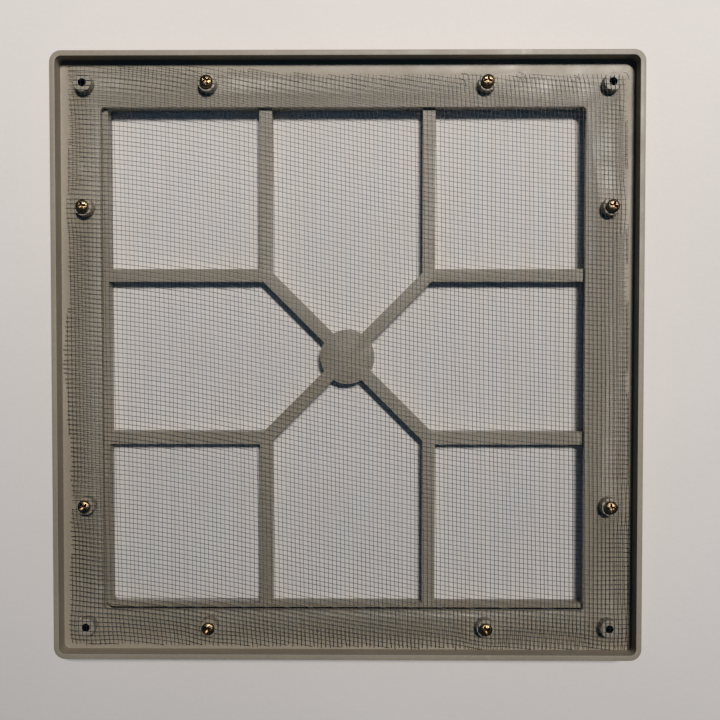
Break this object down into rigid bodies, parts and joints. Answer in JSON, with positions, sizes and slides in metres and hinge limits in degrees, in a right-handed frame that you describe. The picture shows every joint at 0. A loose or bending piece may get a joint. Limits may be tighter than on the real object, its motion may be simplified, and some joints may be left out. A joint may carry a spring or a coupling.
{
  "type": "ceiling air diffuser",
  "caption": "Square ceiling grille seen from its back: a core of bars, diagonals and a centre disc inside a border with screw bosses, and insect mesh screwed over them.",
  "frame": {"origin": "middle of the room-side face of the grille, at the base of the bounding box", "axes": "+Z out of the ceiling side, +Y along the longer side, +X along the shorter side"},
  "size_m": [0.2036, 0.2098, 0.014],
  "materials": {
    "frame_plastic": "greige moulded plastic, fine satin grain",
    "mesh_fibreglass": "vinyl-coated woven fibreglass, charcoal grey, open weave",
    "screw_zinc": "yellow zinc plate, bright"
  },
  "bodies": {
    "root": {"frame_moulding": "frame_plastic", "grille_core": "frame_plastic", "insect_mesh": "mesh_fibreglass", "mesh_screw_1": "screw_zinc", "mesh_screw_2": "screw_zinc", "mesh_screw_3": "screw_zinc", "mesh_screw_4": "screw_zinc", "mesh_screw_5": "screw_zinc", "mesh_screw_6": "screw_zinc", "mesh_screw_7": "screw_zinc", "mesh_screw_8": "screw_zinc"}
  },
  "joints": []
}
